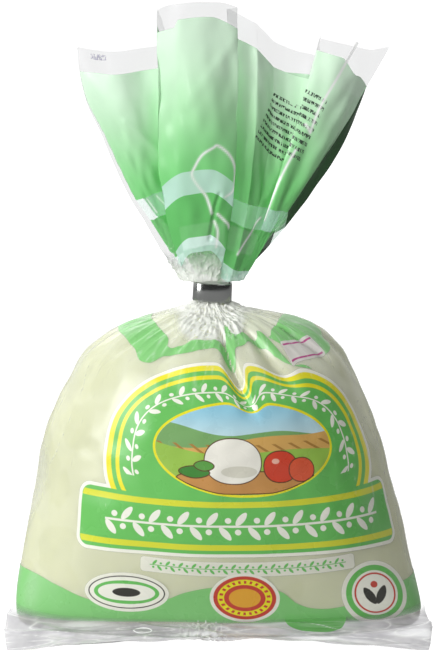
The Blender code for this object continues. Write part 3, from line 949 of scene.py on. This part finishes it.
def draw_batch_marks(ink, share):
    """Rows of short dark dashes, as a batch stamp leaves, without any letters."""
    height = ink.calc("MULTIPLY_ADD", share, 76.0, ink.calc("MULTIPLY", ink.around, 0.13))
    start = ink.calc("SUBTRACT", height, 42.5)
    row = ink.calc("FLOOR", ink.calc("DIVIDE", start, BATCH_ROW))
    in_row = ink.calc("SUBTRACT", start, ink.calc("MULTIPLY", row, BATCH_ROW))
    sizes = ((ink.around, 1.9), (row, 7.7), (in_row, 0.9))
    parts = [ink.calc("MULTIPLY", value, size) for value, size in sizes]
    dash = add_node(ink.tree, "ShaderNodeCombineXYZ", *parts).outputs[0]
    broken = add_node(ink.tree, "ShaderNodeTexNoise", dash, None, 1.0, 1.0, 0.5).outputs[0]
    strokes = ink.calc("MULTIPLY", ink.calc("SUBTRACT", broken, 0.47), 4.0)
    bar = ink.calc("SUBTRACT", 0.55, ink.calc("ABSOLUTE", ink.calc("SUBTRACT", in_row, 1.1)))
    left = ink.calc("SUBTRACT", ink.around, ink.calc("MULTIPLY_ADD", start, 0.55, -44.0))
    right = ink.calc("SUBTRACT", 7.0, ink.around)
    rows = ink.calc("MINIMUM", start, ink.calc("SUBTRACT", 9 * BATCH_ROW, start))
    block = ink.calc("MINIMUM", ink.calc("MINIMUM", left, right), rows)
    ink.lay_inside(ink.calc("MINIMUM", ink.calc("MINIMUM", bar, strokes), block), srgb(50, 66, 54), 0.95)
    stamp = ink.box((-138.5, 77.0), (3.2, 0.9), 0.5, (ink.around, ink.calc("MULTIPLY", share, 72.0)))
    ink.lay_inside(ink.calc("MINIMUM", stamp, strokes), srgb(150, 148, 170), 0.8)


def fan_material():
    """Clear film with a green print, deep near the clip and pale at the top."""
    made, tree, shader = new_material("printed mouth film")
    uv = add_node(tree, "ShaderNodeUVMap", uv_map="share").outputs[0]
    share = add_node(tree, "ShaderNodeSeparateXYZ", uv).outputs[0]
    crumpled = ramp(tree, share, 0.2, 0.06)
    clear = blend_colours(tree, crumpled, srgb(122, 123, 126), srgb(242, 243, 238))
    ink = Print(tree, clear, calc(tree, "MULTIPLY_ADD", crumpled, 0.6, 0.2))
    printed = ink.calc("SUBTRACT", 1.0, ink.mark("bare"))
    low_block = ink.between(17.5, 32.5)
    tint_band = ink.between(12.0, 41.0)
    centre = ink.calc("SUBTRACT", 19.5, ink.calc("ABSOLUTE", ink.calc("ADD", ink.around, 76.0)))
    tinted = ink.calc("MULTIPLY", ink.edge(tint_band), printed)
    ink.lay(tinted, srgb(202, 238, 224), ink.calc("MULTIPLY_ADD", ink.edge(centre), 0.45, 0.35))
    # Painted shade: on the folds behind the right corner the greens turn dark, as if in shadow.
    shaded = ink.mark("shaded")
    shadow_green = srgb(40, 84, 42)
    deep = blend_colours(tree, shaded, srgb(104, 194, 106), shadow_green)
    ink.lay(ink.calc("MULTIPLY", ink.edge(low_block), printed), deep, 0.95)
    top_edge = ink.calc("MULTIPLY", ink.calc("SUBTRACT", 1.0, share), 90.0)
    high_block = ink.calc("MINIMUM", ink.calc("SUBTRACT", ink.up, 40.5), top_edge)
    fade = ramp(tree, share, 0.40, 1.0)
    green = blend_colours(tree, fade, srgb(124, 214, 126), srgb(222, 252, 224))
    green = blend_colours(tree, shaded, green, shadow_green)
    ink.lay(ink.calc("MULTIPLY", ink.edge(high_block), printed), green, 0.97)
    draw_batch_marks(ink, share)
    # White along the creases: partly stress whitening, partly painted glare lines and glints.
    ink.lay_crease_white_and_glints(0.95)
    tree.links.new(ink.colour, shader.inputs["Base Color"])
    in_shadow = add_node(tree, "ShaderNodeLightPath").outputs["Is Shadow Ray"]
    held_back = calc(tree, "MULTIPLY_ADD", in_shadow, -0.55, 1.0)
    tree.links.new(calc(tree, "MULTIPLY", ink.cover, held_back), shader.inputs["Alpha"])
    rough = ramp(tree, ink.mark("crease_white_and_glints"), 0.1, 0.8, 0.2, 0.06)
    tree.links.new(rough, shader.inputs["Roughness"])
    shader.inputs["IOR"].default_value = 1.5
    return made


points, around, up, share, marks = fan_grid()
mouth = film_mesh("gathered_mouth", points, around, up, marks)
share_layer = mouth.data.uv_layers.new(name="share")
share_of = share.ravel()
for loop in mouth.data.loops:
    share_layer.data[loop.index].uv = (share_of[loop.vertex_index], 0)
mouth.data.materials.append(fan_material())
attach(mouth, "root")


# ---------------------------------------------------------------------------
# The bottom seal: the end of the tube welded flat into a stiff clear strip,
# which lies on the table in front of the pouch and curls up behind.
# ---------------------------------------------------------------------------

SEAL_COLUMNS = 320
SEAL_ROWS = 56
SEAL_FRONT = round(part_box("bag")[0].y / MM, 1)
SEAL_FOOT_HALF = 70.8
SEAL_FOOT_UP = 0.5
SEAL_FOOT_LIFT = 3.4
SEAL_TOP_HALF = 69.6
SEAL_TOP_SIDE = -11.0
SEAL_TOP_DEPTH = 18.4
SEAL_TOP_UP = 8.4
SEAL_SAG = 1.2
SEAL_DEPTH_ON_FILM = 14
SEAL_EAR_FROM = 0.75
SEAL_EAR_FLARE = 4.2
SEAL_EAR_LIFT = 2.0


def seal_grid():
    """Points of the strip from its front edge up to the pouch, and its places."""
    share = np.linspace(-1, 1, SEAL_COLUMNS)[None, :]
    run = np.linspace(0, 1, SEAL_ROWS)[:, None, None]
    bow = np.sqrt(np.clip(1 - share**2, 0, 1))
    ear = np.clip((np.abs(share) - SEAL_EAR_FROM) / (1 - SEAL_EAR_FROM), 0, 1) ** 2
    front = np.full_like(share, SEAL_FRONT)
    lift = SEAL_FOOT_UP + SEAL_FOOT_LIFT * (1 - share**2)
    foot = np.stack([share * SEAL_FOOT_HALF, front, lift], 2)
    side = SEAL_TOP_SIDE - SEAL_TOP_DEPTH * bow
    top = np.stack([share * SEAL_TOP_HALF, side, SEAL_TOP_UP + SEAL_EAR_LIFT * ear], 2)
    bend = (foot + top) / 2 - np.array([0, 0, SEAL_SAG])
    bend[:, :, 0] += np.sign(share) * ear * SEAL_EAR_FLARE
    points = foot * (1 - run) ** 2 + 2 * bend * run * (1 - run) + top * run**2
    deep = np.tile(run[:, :, 0] * SEAL_DEPTH_ON_FILM, (1, SEAL_COLUMNS))
    places = np.stack([points[:, :, 0], deep], 2)
    push = 0.35 * ripple(places * (0.35, 1), 9, 31) + 0.12 * ripple(places * (0.3, 1), 4, 32)
    middle = hump(places[:, :, 0] + 5, 9)
    push += middle * 0.5 * (creases(places * (1, 0.6), 5.0, 33) - 0.4)
    push += 0.7 * (creases(places * (0.10, 0.8), 6.0, 34) - 0.4)
    points += grid_normals(points, False) * (push * ease(run[:, :, 0], 1.0, 0.8))[:, :, None]
    points[:, :, 2] = np.maximum(points[:, :, 2], 0.15)
    # Painted glints: white lines along the strip and white flecks where its middle is crumpled.
    glints = 0.75 * creases(places * (0.11, 1), 3.2, 35) ** 9 * ease(run[:, :, 0], 0.95, 0.7)
    glints = np.maximum(glints, middle * creases(places * (1, 0.7), 3.4, 36) ** 5)
    return points, places, {"crease_white_and_glints": glints}


def seal_material():
    """Clear, faintly lilac film, two layers thick, with painted highlight lines along it."""
    made, tree, shader = new_material("clear seal film")
    coords = add_node(tree, "ShaderNodeTexCoord").outputs["Object"]
    cloud = add_node(tree, "ShaderNodeTexNoise", coords, None, 120.0, 3.0).outputs[0]
    drawn = add_node(tree, "ShaderNodeMapping", coords, None, None, (0.12, 1.0, 1.0))
    streaks = add_node(tree, "ShaderNodeTexNoise", drawn.outputs[0], None, 190.0, 3.0).outputs[0]
    tint = blend_colours(tree, ramp(tree, cloud, 0.35, 0.7), srgb(196, 194, 198), srgb(168, 166, 172))
    # Painted highlights: pale lines drawn out along the strip.
    tint = blend_colours(tree, ramp(tree, streaks, 0.5, 0.72), tint, srgb(244, 244, 246))
    ink = Print(tree, tint, None)
    ink.cover = ramp(tree, ink.up, 13.9, 10.5, 0.1, 0.8)
    tongue = ink.oval((33.0, 14.0), (10.4, 6.6), 2.4)
    ink.lay_inside(tongue, srgb(104, 172, 94), 0.85)
    hole = ink.oval((-25.5, 8.0), (3.3, 1.9))
    ink.lay_inside(ink.calc("MINIMUM", hole, ink.calc("SUBTRACT", 0.5, hole)), srgb(250, 250, 252), 0.95)
    # White along the creases: painted glints.
    ink.lay_crease_white_and_glints(0.95)
    tree.links.new(ink.colour, shader.inputs["Base Color"])
    tree.links.new(ink.cover, shader.inputs["Alpha"])
    shader.inputs["Roughness"].default_value = 0.2
    return made


points, places, marks = seal_grid()
seal = film_mesh("bottom_seal", points, places[:, :, 0], places[:, :, 1], marks, closed=False)
seal.data.materials.append(seal_material())
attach(seal, "root")


# ---------------------------------------------------------------------------
# The clip: a flat strip of bright aluminium with rounded edges. A machine bends
# it round the gathered film, laps its ends at the back and crimps them.
# ---------------------------------------------------------------------------

CLIP_MIDDLE_UP = round((clip_low.z + clip_high.z) / 2 / MM, 1)
CLIP_HEIGHT = 6.4
CLIP_WALL = 0.55
CLIP_GAP = 0.75
CLIP_EDGE = 0.25
CLIP_TILT = math.radians(3)
CLIP_FLARE = math.radians(1)
CLIP_OVERLAP = math.radians(24)
CLIP_STEPS = 160


def clip_section(bulge):
    """One cut through the strip, in mm: outward and up, with rounded edges."""
    half = CLIP_HEIGHT / 2
    face = CLIP_WALL / 2
    outline = [(face, half - CLIP_EDGE), (face - 0.08, half - 0.07), (face - CLIP_EDGE, half)]
    outline += [(-out, up) for out, up in reversed(outline)]
    outline += [(-out, -up) for out, up in outline]
    section = []
    for out, up in outline:
        bulged = out + bulge * (1 - (up / half) ** 2)
        section.append((bulged - up * math.tan(CLIP_FLARE), up))
    return section


mesh = bpy.data.meshes.new("clip_band")
corners, faces = [], []
start, end = math.pi / 2 - CLIP_OVERLAP, math.pi / 2 + 2 * math.pi + CLIP_OVERLAP
for k in range(CLIP_STEPS + 1):
    angle = start + (end - start) * k / CLIP_STEPS
    lapped = min(max((angle - (end - 2.4 * CLIP_OVERLAP)) / CLIP_OVERLAP, 0.0), 1.0)
    square = (abs(math.cos(angle)) ** 3 + abs(math.sin(angle)) ** 3) ** (-1 / 3)
    lifted = lapped * (CLIP_WALL + 0.1)
    reach_x = (NECK_HALF[0] + CLIP_GAP) * square + lifted
    reach_y = (NECK_HALF[1] + CLIP_GAP) * square + lifted
    dent = 0.06 * math.cos(3 * angle + 0.6)
    for out, up in clip_section(dent):
        across = (reach_x + out) * math.cos(angle)
        corners.append((
            NECK_X + across + up * math.sin(CLIP_TILT),
            (reach_y + out) * math.sin(angle),
            CLIP_MIDDLE_UP + up - across * math.sin(CLIP_TILT),
        ))
ring = len(corners) // (CLIP_STEPS + 1)
for k in range(CLIP_STEPS):
    for i in range(ring):
        here, beside = k * ring + i, k * ring + (i + 1) % ring
        faces.append((here, beside, beside + ring, here + ring))
faces.append(tuple(range(ring)))
faces.append(tuple(reversed(range(CLIP_STEPS * ring, CLIP_STEPS * ring + ring))))
mesh.from_pydata([tuple(value * MM for value in corner) for corner in corners], [], faces)
mesh.shade_smooth()
clip_band = bpy.data.objects.new("clip_band", mesh)
bpy.context.scene.collection.objects.link(clip_band)
bpy.ops.object.select_all(action="DESELECT")
clip_band.select_set(True)
bpy.context.view_layer.objects.active = clip_band
bpy.ops.object.mode_set(mode="EDIT")
bpy.ops.mesh.select_all(action="SELECT")
bpy.ops.mesh.normals_make_consistent(inside=False)
bpy.ops.object.mode_set(mode="OBJECT")
made, tree, shader = new_material("crimped aluminium")
coords = add_node(tree, "ShaderNodeTexCoord").outputs["Object"]
brushed = add_node(tree, "ShaderNodeMapping", coords, None, None, (1.0, 1.0, 12.0))
scratches = add_node(tree, "ShaderNodeTexNoise", brushed.outputs[0], None, 900.0, 4.0).outputs[0]
rough = ramp(tree, scratches, 0.3, 0.75, 0.10, 0.24)
tree.links.new(rough, shader.inputs["Roughness"])
shader.inputs["Base Color"].default_value = srgb(168, 170, 168)
shader.inputs["Metallic"].default_value = 1.0
clip_band.data.materials.append(made)
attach(clip_band, "root")
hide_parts("clip")


# ---------------------------------------------------------------------------
# The studio: a white floor that only the camera sees as bright, three
# softboxes, a soft glow all round, and the camera a little above the bag.
# ---------------------------------------------------------------------------

bpy.ops.object.select_all(action="DESELECT")
bpy.ops.mesh.primitive_plane_add(size=12, location=(0, 0, -0.0002))
floor = bpy.context.object
floor.name = "floor"
made, tree, shader = new_material("white floor")
shader.inputs["Base Color"].default_value = (0.3, 0.3, 0.3, 1)
shader.inputs["Roughness"].default_value = 0.9
shader.inputs["Specular IOR Level"].default_value = 0.0
shader.inputs["Emission Color"].default_value = (1, 1, 1, 1)
to_camera = add_node(tree, "ShaderNodeLightPath").outputs["Is Camera Ray"]
tree.links.new(calc(tree, "MULTIPLY_ADD", to_camera, 0.9, 0.1), shader.inputs["Emission Strength"])
floor.data.materials.append(made)


def softbox(name, place, target, width, height, power):
    """A softbox aimed at the bag."""
    light = bpy.data.lights.new(name, "AREA")
    light.shape = "RECTANGLE"
    light.size = width
    light.size_y = height
    light.energy = power
    lamp = bpy.data.objects.new(name, light)
    lamp.location = place
    lamp.rotation_euler = (Vector(target) - Vector(place)).to_track_quat("-Z", "Y").to_euler()
    bpy.context.scene.collection.objects.link(lamp)


BAG_MIDDLE = (0, 0, 0.104)
softbox("key", (-1.4, -1.2, 0.78), BAG_MIDDLE, 1.1, 1.5, 37)
softbox("back_light", (-0.4, 1.5, 1.2), BAG_MIDDLE, 1.2, 1.2, 8)
softbox("fill", (0.7, -1.3, 1.8), BAG_MIDDLE, 1.2, 1.2, 9)

BRIGHT_SIDE = (-0.3, 0.9, 0.3)
world = bpy.data.worlds.new("studio")
world.use_nodes = True
bpy.context.scene.world = world
tree = world.node_tree
background = tree.nodes["Background"]
way = add_node(tree, "ShaderNodeTexCoord").outputs["Generated"]
facing = add_node(tree, "ShaderNodeVectorMath", way, BRIGHT_SIDE, operation="DOT_PRODUCT")
glow = ramp(tree, facing.outputs["Value"], -0.4, 0.8, 0.05, 0.75)
to_camera = add_node(tree, "ShaderNodeLightPath").outputs["Is Camera Ray"]
tree.links.new(calc(tree, "MAXIMUM", glow, to_camera), background.inputs["Strength"])
background.inputs["Color"].default_value = (1, 1, 1, 1)

CAMERA_RISE = math.radians(12)
CAMERA_AWAY = 1.6
CAMERA_TARGET = Vector((0, 0, 0.1042))
camera = bpy.data.objects.new("camera", bpy.data.cameras.new("camera"))
camera.data.lens = 260.6
camera_way = Vector((0, -math.cos(CAMERA_RISE), math.sin(CAMERA_RISE)))
camera.location = CAMERA_TARGET + CAMERA_AWAY * camera_way
camera.rotation_euler = (CAMERA_TARGET - camera.location).to_track_quat("-Z", "Y").to_euler()
bpy.context.scene.collection.objects.link(camera)
bpy.context.scene.camera = camera
bpy.context.scene.view_settings.view_transform = "Standard"
